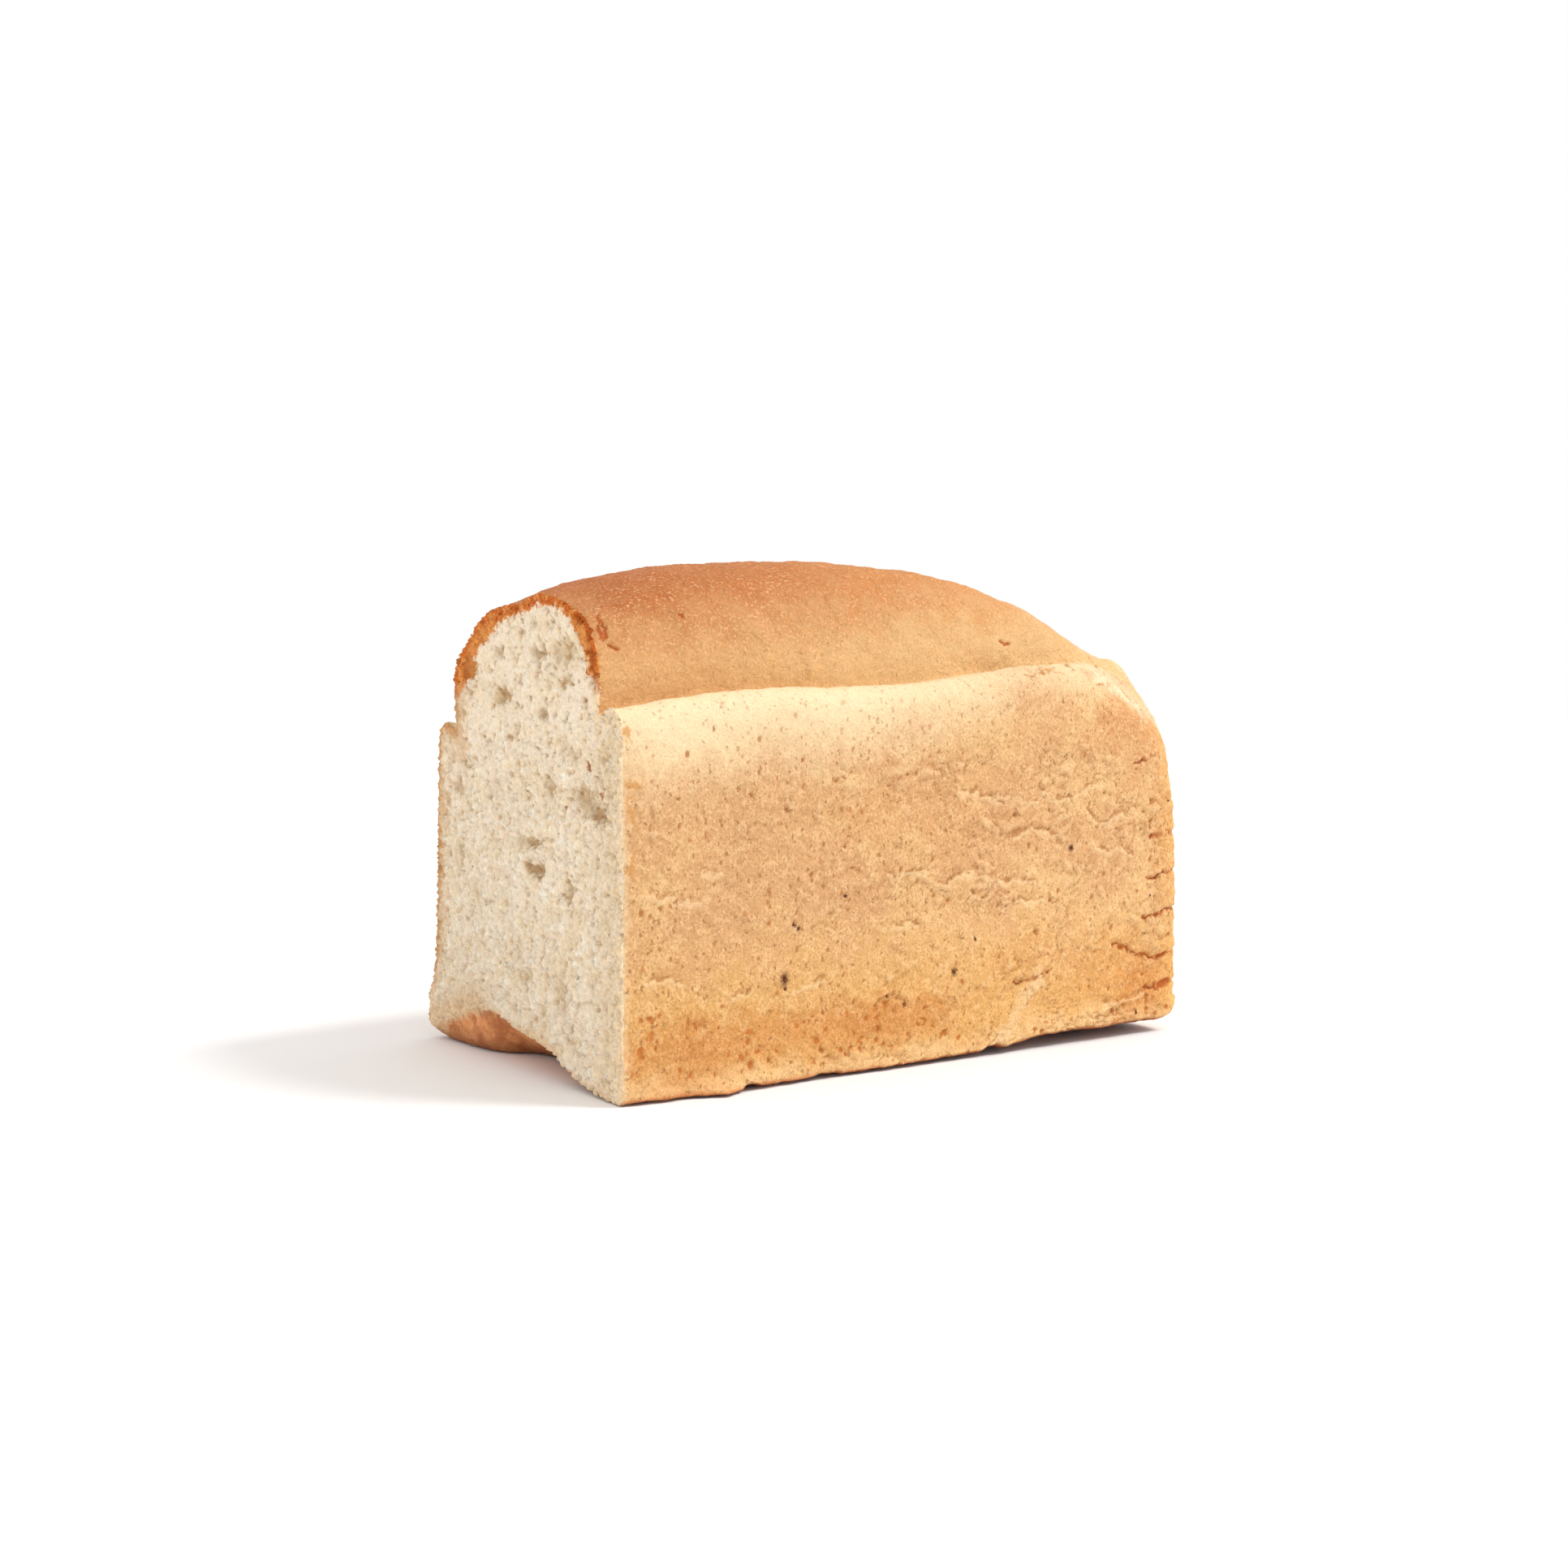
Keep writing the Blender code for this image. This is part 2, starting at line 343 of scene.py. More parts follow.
# the loaf's body, one smooth mesh of fine, even faces: mergeGap and voxel in metres, smoothing in
# steps, and the places that the smoothing keeps, in mm
body = {
    "mergeGap": 0.00001, "voxel": 0.00056, "smoothing": 37,
    "rimKept": 2.5, "notchAt": 46.0, "notchKept": (2.0, 5.0), "wallTop": 88, "wallTopRun": 6.0,
}

def makeBody():
    node = frame["nodes"]["loaf"]
    loaf = node.copy()
    loaf.data = node.data.copy()
    loaf.name = "loafBody"
    loaf.parent = None
    for key in list(loaf.keys()):                       # the copy is no CAD node
        del loaf[key]
    bpy.context.scene.collection.objects.link(loaf)
    pickOnly(loaf)
    loaf.data.materials.clear()
    bpy.ops.object.mode_set(mode="EDIT")
    bpy.ops.mesh.select_all(action="SELECT")
    bpy.ops.mesh.remove_doubles(threshold=body["mergeGap"])
    bpy.ops.object.mode_set(mode="OBJECT")
    skin = makeGuide(loaf, "skinGuide", False)
    cutFace = makeGuide(loaf, "cutGuide", True)
    applyModifier(loaf, "even", "REMESH", mode="VOXEL", voxel_size=body["voxel"], use_smooth_shade=True)
    smoothBody(loaf)
    markSkin(loaf, skin, cutFace)
    bpy.data.objects.remove(skin)
    bpy.data.objects.remove(cutFace)
    print("body made,", len(loaf.data.polygons), "faces")
    return loaf


def makeGuide(loaf, name, cut):                         # only the cut face, or only the baked outside
    guide = loaf.copy()
    guide.data = loaf.data.copy()
    guide.name = name
    bpy.context.scene.collection.objects.link(guide)
    pickOnly(guide)
    bpy.ops.object.mode_set(mode="EDIT")
    bpy.ops.mesh.select_mode(type="FACE")
    bpy.ops.mesh.select_all(action="DESELECT")
    bpy.ops.object.mode_set(mode="OBJECT")
    for face in guide.data.polygons:
        face.select = all(guide.data.vertices[i].co.x * mm < cutX + 0.01 for i in face.vertices) != cut
    bpy.ops.object.mode_set(mode="EDIT")
    bpy.ops.mesh.delete(type="ONLY_FACE")
    bpy.ops.mesh.select_mode(type="VERT")
    bpy.ops.object.mode_set(mode="OBJECT")
    return guide


def smoothBody(loaf):                                   # eases broad facets, and keeps the rim and notches
    relief = Relief("easeFacets")
    x, y, z = relief.place.split()
    rim = (x - cutX).ramp(body["rimKept"] * 0.4, body["rimKept"])
    creased = abs(abs(y) - body["notchAt"]).ramp(*body["notchKept"], 0.25, 1.0)
    eased = creased.atLeast((z - body["wallTop"]).ramp(body["wallTopRun"], 0.0))
    relief.put(relief.blurred(relief.place, body["smoothing"], rim * eased, "FLOAT_VECTOR"))
    relief.applyTo(loaf)


# what counts as cut or as underside: by how the surface faces, and by its place in mm
skinMarks = {
    "cutFacing": (0.3, 0.7), "cutDepth": (0.5, 0.2), "underFacing": (0.72, 0.94),
    "hollowRun": (24.0, 18.0), "hollowTop": (17.0, 14.0),
}

def markSkin(loaf, skin, cutFace):
    relief = Relief("markSkin")
    x, z = relief.place.split()[::2]
    fx, fz = relief.facing.split()[::2]
    cut = (fx * -1).ramp(*skinMarks["cutFacing"]) * (x - cutX).ramp(*skinMarks["cutDepth"])
    inHollow = fx * (x - cutX).ramp(*skinMarks["hollowRun"])
    hidden = (inHollow + fz) * z.ramp(*skinMarks["hollowTop"]) * -1
    relief.mark("cutShare", cut)
    relief.mark("under", hidden.ramp(*skinMarks["underFacing"]) * (1 - cut))
    relief.mark("rimDepth", relief.gap(skin, relief.place, "FACES"), cut)
    relief.mark("fromCut", relief.gap(cutFace, relief.place, "FACES"), 1 - cut)
    relief.applyTo(loaf)


# relief of the crust, in mm: waves, a frayed edge and a flared foot, creases, pores and cracks
crustRelief = {
    "wave": 0.45, "waveSize": 34, "lump": 0.3, "lumpSize": 8, "leather": 0.2, "leatherSize": 3.2,
    "fold": 1.05, "foldSize": 3.6, "lip": 0.28, "crease": 0.36, "pore": 0.5, "crack": 1.0,
    "fray": 0.6, "frayReach": 2.6, "cutWave": 0.7, "cutWaveReach": 7.0, "ridge": 0.4, "domeLump": 0.7,
    "wrinkle": 0.16, "footRadii": (2.6, 8.0), "footFlare": 2.4, "flareAt": -66, "flareRun": (26.0, 8.0),
}

# how the dome leans near the cut, in mm: reach is how far from the cut it starts and is whole, and the
# others are (y, z), (half width, half height), most that it moves
domeLean = {
    "reach": (34.0, 2.0), "rise": ((-18, 124), (10, 14), 1.6), "sink": ((27, 117), (5, 6), 0.7),
    "bulge": ((36, 107), (5, 7), 2.5),
}

# lines of the near side as it faces -Y, as (x, z) points in mm: scalloped creases with a lip below
wallCreases = (
    ((8, 71.5), (14, 72), (19.5, 69.3), (21, 70.7), (27, 70.3), (31, 68.8), (36, 68.4)),
    ((37, 72.7), (38, 70.8), (46, 68.6), (50, 69.9), (58, 73.4)),
    ((27, 59.5), (35, 61.7), (39, 60.2), (44, 59.4), (47, 57.8)),
    ((55, 65.6), (59.5, 62), (62, 61.6), (65, 63.1), (70, 64.6)),
    ((57, 57.8), (58.6, 55), (62, 53.7), (67, 54.6), (72, 52.7)),
    ((3.5, 47.3), (7.5, 49.7), (13, 50.2), (20, 48), (25, 46.6), (28.5, 47.8), (36, 46.3)),
    ((13, 44.6), (14.5, 43.4), (18, 43.3), (20, 46.4)), ((28, 42), (33, 41), (38, 41.8)),
    ((-15, 50.8), (-10, 51.4), (-4, 51.3)), ((-15, 37.5), (-11, 38), (-6, 37.9)),
    ((-88.5, 49.6), (-85, 49), (-81.3, 49.5), (-79, 48.2), (-74, 47.2), (-72, 48.2)),
    ((-87.5, 28.8), (-81.4, 29.6), (-78, 28.4)), ((-64, 23.6), (-60, 24.1), (-58, 25.1)),
    ((-45, 23.3), (-42.4, 24.4), (-36, 25.3)), ((-72.5, 54.8), (-70, 53.8), (-66.5, 54.1)),
    ((57, 4.7), (66, 6.2)), ((62, 9.8), (70, 10.6), (77, 12)), ((-85.6, 72.2), (-86.6, 69.6), (-86.1, 64.8)),
)
# hairline cracks
fineCracks = (
    ((65, 27), (70.5, 24.4), (76, 22.3)), ((73, 78), (79.4, 79.7), (83.4, 80.4)),
    ((27, 18.5), (32, 18.6), (41, 21.2)), ((-74.7, 17.1), (-71.5, 17)),
    ((33.3, 102.9), (38, 103.2)), ((40, 103.8), (43, 104.6), (47, 103.4)), ((51, 106.8), (53, 105.4)),
    ((68, 107.8), (69, 106.4)), ((61, 100.5), (66, 100.2)),
)
# open cracks at the tin end's corner
wideCracks = (
    ((75, 22.9), (79, 21.6), (84, 21.8), (89, 22.6), (96, 23.4)),
    ((77, 33), (81.5, 33.8), (88, 34.8), (96, 35.6)),
    ((78.5, 44.6), (84, 45.7), (90.5, 46.4), (96, 47)), ((79.5, 56), (83, 56.8), (90.5, 57.4), (96, 58)),
    ((78, 12.4), (84, 12.9), (91, 14), (96, 14.6)),
)
# tears and soft folds in the dome's skin
domeTears = (
    ((-90.2, 116.6), (-91.2, 113.6), (-91.0, 110.6)), ((-89.9, 114.8), (-89.6, 113.4), (-90.2, 111.2)),
    ((-90, 109.4), (-88.1, 108.3)), ((-69.2, 117.2), (-68.8, 116.4)),
    ((32.2, 112.9), (33.6, 111.9), (35, 112.2)),
)
domeFolds = (
    ((-50.5, 111.5), (-48.5, 109), (-47.5, 106)), ((-36, 107), (-34.5, 103.5), (-33.5, 100.5)),
    ((-45, 118), (-44, 115.5)), ((8.2, 113.4), (9.4, 110.6)), ((31, 108.2), (34, 106.4)),
    ((-26, 122), (-24.6, 120.4)),
)
# raised ridges, painted paler than the wall; on the ridge at the bevelled corner this is a painted highlight
paleRidges = (
    ((36.5, 19.5), (35.8, 17.7), (31.5, 13.8), (28, 8.1), (23, 3.8)),
    ((61, 102.6), (66, 100.9), (72.1, 99), (76.9, 96.5), (79.3, 95), (81.3, 91.7)),
)

# dents of the near side, as (x, z), (half width, half height), depth
dents = (
    ((70.3, 100.8), (1.8, 1.2), 0.7), ((78.9, 97.9), (1.6, 1.6), 0.8), ((82.4, 92.4), (1.4, 1.8), 0.7),
    ((60, 104.5), (3.5, 1.2), 0.5),
)

# where the near foot is lifted off the table, as x, half width, lift
footLifts = ((-34, 6, 0.7), (-58, 4, 0.9), (21, 4.5, 1.2), (48, 28, 2.0), (76, 16, 1.6))


def lowPores(place):                                    # larger open pores along the foot of the sides
    x, z = place.split()[::2]
    low = (z + swell(place, 14, 10, 0.0) * 8 + x.ramp(-10.0, 10.0) * 10).ramp(24.0, 15.0)
    low = low * (z + swell(place, 9, 14, 0.0) * 4).ramp(3.0, 7.0)
    return bubbles(jitter(place, 2, 0.8, 10), 2.8, 0.2, 1.15, 10, 1.1) * low


def leanSpot(y, z, name):
    centre, radii, most = domeLean[name]
    return spot(y, z, centre, radii, 0.8) * most


def waveCrust(loaf):                                    # leans the dome, waves the walls, flares the foot
    relief = Relief("crustWaves")
    place = relief.place
    x, y, z = place.split()
    fromCut = x - cutX
    leaning = fromCut.ramp(*domeLean["reach"])
    risen = leanSpot(y, z, "rise") - leanSpot(y, z, "sink")
    relief.push(joined(0.0, leanSpot(y, z, "bulge"), risen), leaning, leaning)

    flat = 1 - relief.marked("cutShare")
    standing = z.ramp(0.5, 9.0)                         # the base stays flat where the loaf stands on it
    waves = swell(place, crustRelief["waveSize"], 1, 1.0) * crustRelief["wave"]
    waves += swell(place, crustRelief["lumpSize"], 2, 1.5) * crustRelief["lump"]
    frayed = fromCut.ramp(crustRelief["frayReach"], 0.0)
    rippled = fromCut.ramp(crustRelief["cutWaveReach"], 0.0)
    fray = swell(place, 1.7, 3, 2.5, 0.65) * frayed * crustRelief["fray"]
    fray += swell(place.stretched(0.25, 1, 1), 4.5, 4, 1.0) * rippled * crustRelief["cutWave"]
    relief.push(relief.facing, (waves * standing + fray * z.ramp(0.0, 4.0)) * flat, flat - 0.01)

    radius = x.ramp(-94.0, 94.0, *crustRelief["footRadii"])
    inset = (y - nearY).atLeast(0.0).atMost(radius)
    squarer = inset * (1 - (inset / radius) ** 3.0)
    flare = abs(x - crustRelief["flareAt"]).ramp(*crustRelief["flareRun"])
    flare = flare * z.ramp(5.0, 0.5) * y.ramp(-46.0, -53.0)
    flare = flare * (swell(place, 9, 17, 1.0) * 1.8 + 1) * crustRelief["footFlare"]
    outward = (squarer * z.ramp(12.0, 8.0) + flare) * fromCut.ramp(0.0, 3.0)
    relief.push(joined(0.0, x * 0 - 1, 0.0), outward, y.ramp(-40.0, -42.0))
    relief.applyTo(loaf)


def foldFields(place, side):                            # fine folds of the walls, and creases along them
    x, z = place.split()[::2]
    where = swell(place, 16, 8, 1.0).ramp(-0.3, 0.35, 0.3, 1.0) * x.ramp(-90.0, 20.0, 0.45, 1.0) * side
    where = where * (shoulderHeight(x) - z).ramp(6.0, 26.0)
    bent = jitter(place, 9, 4, 15).stretched(0.4, 1, 1)
    folded = abs(swell(bent, crustRelief["foldSize"], 16, 2.0, 0.55)) * where
    crease = (1 - folded * 8 / where.atLeast(0.05)).atLeast(0.0) * where * 0.75
    return folded, crease


def pitFields(place, side, dome):                       # pores of the crust, and wrinkles of the dome
    x = place.split()[0]
    pores = bubbles(jitter(place, 2, 0.5, 9).stretched(1, 1, 0.7), 2.6, 0.1, 0.8, 9, 3.2)
    pores = pores * (side + dome * 0.2).atMost(1.0)
    pit = pores.atLeast(lowPores(place) * side) * (x - cutX).ramp(1.0, 4.0)
    wrinkle = abs(swell(place.stretched(1.0, 1.0, 0.14), 4.2, 11, 1.5))
    wrinkle = (1 - wrinkle * 7).atLeast(0.0) * dome * swell(place, 20, 12, 0.0).ramp(0.0, 0.5)
    return pit, wrinkle


def liftFoot(relief, nearSide):                         # raises the near foot off the table in places
    x, y, z = relief.place.split()
    raised = x * 0.0
    for middle, reach, height in footLifts:
        raised = raised + abs(x - middle).ramp(reach, reach * 0.2, 0.0, height)
    foot = raised * y.ramp(-34.0, -52.0) * z.ramp(14.0, 1.0)
    relief.push(joined(0.0, 0.0, x * 0 + 1), foot, nearSide)


def creaseCrust(loaf):                                  # leathery skin, creases, cracks, pores and dents
    lines = {"creases": wallCreases, "fine": fineCracks, "wide": wideCracks, "tears": domeTears,
             "folds": domeFolds, "ridges": paleRidges}
    guides = {name: strokes(name, lines[name]) for name in lines}
    relief = Relief("crustSkin")
    place = relief.place
    x, y, z = place.split()
    flat = 1 - relief.marked("cutShare")
    fz = relief.facing.split()[2]
    dome = domeShare(place, 0.8)
    side = (1 - dome) * (1 - (fz * -1).ramp(0.4, 0.8))
    nearSide = y.ramp(-20.0, -30.0)
    creased = nearSide * mixed(1.0, y.ramp(-38.0, -52.0), x.ramp(88.0, 92.5))    # fades round the corner

    leather = swell(place, crustRelief["leatherSize"], 5, 3.0, 0.6) * crustRelief["leather"]
    folded, crease = foldFields(place, side)
    rx, rz = jitter(place, 2.2, 1.4, 9).split()[::2]
    flatPlace = joined(rx - 0.7, 0.0, rz - 0.7)
    near = relief.gap(guides["creases"], flatPlace)
    below = (near - relief.gap(guides["creases"], flatPlace.moved(0, 0, 0.8))).ramp(0.0, 0.7)
    uneven = swell(place, 5, 13, 1.0).ramp(-0.4, 0.4, 0.25, 1.0)
    crease = crease.atLeast((near + (1 - uneven) * 0.4).ramp(0.9, 0.1) * creased * (uneven * 0.6 + 0.4))
    lip = below * near.ramp(3.5, 0.3) * creased
    crack = relief.gap(guides["fine"], flatPlace).ramp(0.75, 0.1) * (uneven * 0.6 + 0.4) * 0.9
    wide = relief.gap(guides["wide"], flatPlace).ramp(1.05, 0.1) * (uneven * 0.6 + 0.4)
    crack = crack.atLeast(wide) * creased
    waved = joined(x + swell(place, 1.6, 19, 1.0) * 0.7, 0.0, z)
    tear = relief.gap(guides["tears"], waved).ramp(0.6, 0.15) * nearSide * dome
    domeFold = relief.gap(guides["folds"], flatPlace).ramp(1.4, 0.2) * nearSide * dome
    ridge = relief.gap(guides["ridges"], flatPlace).ramp(3.6, 0.2) * nearSide * (1 - dome)
    crease = crease.atLeast(domeFold * 0.25)
    # the crease, lip and ridge marks also place the painted shade in the creases and the painted highlight
    # on the lips, folds and ridges
    relief.mark("crease", crease, flat)
    relief.mark("lip", lip.atLeast(folded * 0.9), flat)
    relief.mark("ridge", ridge, flat)
    relief.mark("crack", crack.atLeast(tear), flat)

    pit, wrinkle = pitFields(place, side, dome)
    relief.mark("pit", pit, flat)
    opened = crack + tear * 0.5 + domeFold * 0.25
    hollow = pit * crustRelief["pore"] + wrinkle * crustRelief["wrinkle"] + opened * crustRelief["crack"]
    for centre, radii, deep in dents:
        hollow = hollow + spot(x, z, centre, radii, 0.6) * nearSide * deep
    lift = leather + lip * crustRelief["lip"] + folded * crustRelief["fold"]
    lift = lift + ridge * crustRelief["ridge"] + swell(place, 13, 18, 1.0) * dome * crustRelief["domeLump"]
    lift = lift - crease * crustRelief["crease"] - hollow
    relief.push(relief.facing, lift * flat, flat - 0.01)

    liftFoot(relief, nearSide)
    relief.applyTo(loaf)
    for guide in guides.values():
        bpy.data.objects.remove(guide)
    print("crust shaped")


# relief of the cut face, in mm: lumps, torn crumb, open pores and a split
crumbRelief = {
    "lump": 0.42, "fineLump": 0.3, "tear": 0.95, "streak": 0.3, "pore": 1.5, "small": 0.6, "rough": 0.4,
    "crustPore": 1.1, "split": 1.3,
}

# hollows of the cut face, as (y, z), (half width, half height), depth in mm
hollows = (
    ((-11, 115.8), (1.6, 0.9), 1.0), ((-21.8, 115.1), (3, 1.2), 0.7), ((-5, 113.9), (2.4, 0.9), 0.7),
    ((9.6, 109.2), (2, 1.3), 1.3), ((0.3, 108.5), (2.6, 1.2), 0.7), ((-14.1, 108.1), (4.2, 1.4), 1.6),
    ((-27, 108.7), (7, 3), 1.1), ((28.6, 105.7), (4.4, 3.4), 2.2), ((-12.7, 103.4), (2.4, 1.4), 0.9),
    ((-3.4, 101.5), (2.4, 1.2), 1.2), ((-27, 101.1), (3.2, 1.4), 1.4), ((-19, 101.2), (1.6, 1.8), 0.8),
    ((13.2, 100.7), (3.2, 1.2), 0.7), ((7.3, 97.4), (5.2, 2.8), 1.9), ((-16.2, 92.9), (2.2, 1), 1.3),
    ((-0.8, 88.7), (2.2, 2.2), 1.0), ((27.7, 98.6), (3, 2), 0.9), ((-25.9, 85.9), (4, 2), 0.8),
    ((-29.4, 83.1), (4.6, 1.8), 1.1), ((30.6, 79.4), (3.6, 1.8), 1.0), ((-48.5, 82.9), (2.4, 2.6), 0.8),
    ((36.1, 73.2), (3, 3), 1.4), ((10.1, 74), (4, 2.4), 0.8), ((-19.6, 74), (2.2, 4.5), 1.0),
    ((-37.3, 72.8), (7, 3), 1.4), ((-44.7, 68.8), (4, 2), 2.2), ((-9.4, 60), (7, 1.5), 1.6),
    ((-11.2, 53.2), (5, 1.8), 2.2), ((-29.4, 48.3), (2.4, 4), 1.3), ((34.8, 53), (2.2, 4), 1.1),
    ((-4.7, 24.5), (3.6, 1.6), 0.9), ((-26.1, 22.9), (3.2, 2.4), 1.0),
)

# the open split between dome crust and crumb, and brown slivers, as (y, z) points
crustSplit = (
    ((-30.5, 119.6), (-33.1, 118), (-37.3, 115.3), (-41.4, 111.2), (-43.4, 106.3), (-44.2, 101.4),
     (-44.1, 97.6)),
)
slivers = (
    ((-39.8, 81.6), (-41.9, 77.9)), ((-46.4, 76.9), (-47.4, 74.6)), ((-45.4, 73.9), (-46.2, 72)),
    ((-28.7, 70.1), (-28.6, 68.2)),
)


def crumbPores(place):                                  # the larger and the smaller open pores
    large = bubbles(jitter(place, 2.5, 0.9, 25).stretched(0.7, 0.7, 1), 4.0, 0.3, 2.2, 25, 1.7)
    small = bubbles(jitter(place, 1.5, 0.6, 26).stretched(0.75, 0.75, 1), 1.9, 0.2, 1.05, 26, 1.3)
    return large, small


def shapeCrumb(loaf):
    splitGuide = strokes("splitGuide", crustSplit)
    relief = Relief("crumbLumps")
    place = relief.place
    y, z = place.split()[1:]
    share = relief.marked("cutShare")
    depth = relief.marked("rimDepth")
    soft = depth.ramp(0.8, 4.0)                         # 0 in the side crust, 1 in the crumb
    upper = z.ramp(70.0, 98.0)
    wandering = jitter(place, 5, 1.6, 21)

    lumps = swell(wandering, 11, 22, 2.0) * crumbRelief["lump"]
    lumps = lumps + swell(wandering, 3.2, 23, 2.5, 0.6) * crumbRelief["fineLump"]
    torn = swell(wandering.stretched(1, 1, 0.62), 2.1, 24, 4.0, 0.7)
    folds = abs(swell(wandering.stretched(1, 1, 0.85), 4.5, 32, 3.0, 0.6))
    streaks = (torn - folds * 0.6) * crumbRelief["tear"]
    drawn = swell(wandering.stretched(1, 1, 0.3), 6, 33, 2.0) * crumbRelief["streak"]
    streaks = streaks * (1 - upper * 0.6) + drawn
    pores, small = crumbPores(place)
    wu = y + swell(place, 2.6, 27, 3.0, 0.7) * 2.6
    wv = z + swell(place, 2.6, 28, 3.0, 0.7) * 1.8
    hollow = share * 0.0
    for centre, radii, deep in hollows:
        hollow = hollow.atLeast(spot(wu, wv, centre, radii, 0.6) * deep)
    pit = (pores * crumbRelief["pore"] * upper.ramp(0.0, 1.0, 0.5, 1.0)).atLeast(hollow)
    pit = pit + small * crumbRelief["small"]
    crusty = bubbles(jitter(place, 1, 0.5, 29), 2.2, 0.2, 1.3, 29, 1.2) * crumbRelief["crustPore"]
    ry, rz = jitter(place, 2.0, 2.4, 31).split()[1:]
    split = relief.gap(splitGuide, joined(ry - 1.2, 0.0, rz - 1.2)).ramp(1.8, 0.4)
    rough = swell(place, 1.2, 30, 2.5, 0.7) * crumbRelief["rough"]
    inward = (pit - lumps - streaks) * soft + (crusty + rough) * (1 - soft) + split * crumbRelief["split"]
    # the hollow and cavity marks also place the crumb's painted shade in its dips, hollows and pores and its
    # painted highlight on the raised crumb
    relief.mark("hollow", pit * soft + crusty * (1 - soft), share)
    relief.mark("cavity", inward + rough, share)
    relief.mark("split", split, share)
    relief.push(joined(share * 0 + 1, 0.0, 0.0), (inward + rough) * share, share - 0.01)
    relief.applyTo(loaf)
    bpy.data.objects.remove(splitGuide)
    print("crumb shaped")


def newFinish(name):                                    # a material, and the place on it in mm
    material = bpy.data.materials.new(name)
    material.use_nodes = True
    tree = material.node_tree
    place = addNode(tree, "ShaderNodeTexCoord", {}, {}, "Object").times(mm)
    return material, tree, tree.nodes["Principled BSDF"], place


def markFrom(tree, name):                               # a value that the relief stored on the mesh
    return addNode(tree, "ShaderNodeAttribute", {"attribute_name": name}, {}, "Fac")


def dress(tree, shader, colour, height, look):          # the colour, bump and gloss of a finish
    tree.links.new(colour.socket, shader.inputs["Base Color"])
    bump = addNode(tree, "ShaderNodeBump", {}, {"Strength": 1.0, "Distance": 1.0, "Height": height})
    tree.links.new(bump.socket, shader.inputs["Normal"])
    shader.inputs["Roughness"].default_value = look["roughness"]
    shader.inputs["Specular IOR Level"].default_value = look["gloss"]


crustLook = {"roughness": 0.68, "gloss": 0.15, "grain": 0.00010, "pinDepth": 0.00020}   # depths in metres

# crease is painted shade in the creases and folds, pale is the crust's own mealy paleness and also a painted
# highlight on the lips, ridge is paler crust with a painted highlight on the ridge at the bevelled corner,
# and the red-brown foot tone is a painted shadow along the foot
crustTones = tones(
    cream="f0d6ac", tan="deb17b", pink="d6a573", gold="deab69", ember="cd8646", pale="f0cd9c",
    edge="e6ae66", facet="f1c89e", ridge="f6deb6", foot="ebc088", footLine="bf6a36", dent="e0ab80",
    domeLow="d6a26b", domeLowRight="e4bb82", domeTop="ae612f", domeTopRight="cc8b51", fleck="f0c99c",
    pit="bb7a47", lowPit="c27638", pin="b8824f", crack="b4571d", paleCrack="cd8c48", crease="b07845",
    scuff="cd9455", char="481000", base="a75c2e", baseDark="71371b",
    underCut="f2a86e", underCutDark="c47c4e",
)

# scuffed patches beside the cut, on the near side, as (x, z), (half width, half height)
scuffs = (
    ((-90.6, 76.6), (1.7, 1.1)), ((-91.2, 69.5), (0.8, 4.5)), ((-92.4, 88), (0.9, 2)),
    ((-91.4, 57), (0.8, 3)),
)

# burnt specks on the near side, as (x, z), (half width, half height)
chars = (
    ((-47.3, 26.6), (1.15, 1.6)), ((-47, 24.2), (0.4, 0.5)), ((-44.5, 40), (0.65, 0.5)),
    ((-43.3, 39.1), (0.6, 0.55)), ((49.5, 55.4), (0.9, 0.9)), ((6.9, 24), (0.6, 0.9)),
    ((7.8, 24.7), (0.3, 0.4)), ((14.5, 32.4), (0.45, 0.6)), ((-28.8, 46.4), (0.45, 0.45)),
    ((-15.5, 19.7), (0.5, 0.5)), ((-9.6, 16.9), (0.45, 0.9)), ((87.7, 67.5), (0.5, 0.3)),
    ((80, 40.4), (0.4, 0.4)), ((39, 69.9), (0.35, 0.35)), ((75, 6.9), (0.5, 0.8)),
)

# darker, more baked patches of the near side, most of them low, as (x, z), (half width, half height), share
embers = (
    ((-45, 13.5), (42, 6), 0.48), ((-78, 10), (14, 9), 0.45), ((-12, 14), (20, 6), 0.5),
    ((80, 14), (11, 8), 0.6), ((67, 5), (7, 2.5), 0.5), ((30, 27), (14, 5), 0.2),
    ((88, 70), (8, 30), 0.3), ((68, 20), (22, 10), 0.3), ((72, 90), (14, 8), 0.35),
    ((-5, 66), (30, 10), 0.12),
)

# a pinker patch of the near side, as (x, z), (half width, half height)
pinkPatch = ((-40, 62), (60, 22))

# the edge of the bevelled corner at the tin end: a point on it as (x, z), and the way out across it
facetEdge = {"at": (65.1, 103.6), "outward": (0.544, 0.84)}


def crustNoise(place):                                  # the crust's unevenness, from broad to fine
    broad = swell(place, 30, 41, 2.0)
    patchy = swell(place, 8, 42, 3.0, 0.6)
    blotch = swell(place, 3.2, 48, 3.0, 0.65)
    speckle = swell(place.stretched(1, 1, 0.8), 0.65, 43, 3.0, 0.75)
    return broad, patchy, blotch, speckle


def creamShare(place, noise, onEnd):                    # the pale band under the shoulder and at the cut
    broad, patchy, blotch = noise[:3]
    x, z = place.split()[::2]
    below = shoulderHeight(x) - z
    narrowed = x.ramp(-50.0, 60.0) * 13 - onEnd * 7
    creamy = (below + patchy * 2.5 + broad * 4 + narrowed).ramp(29.0, 2.0)
    return creamy.atLeast((x - cutX + blotch * 1.6).ramp(2.6, 0.0) * 0.5)


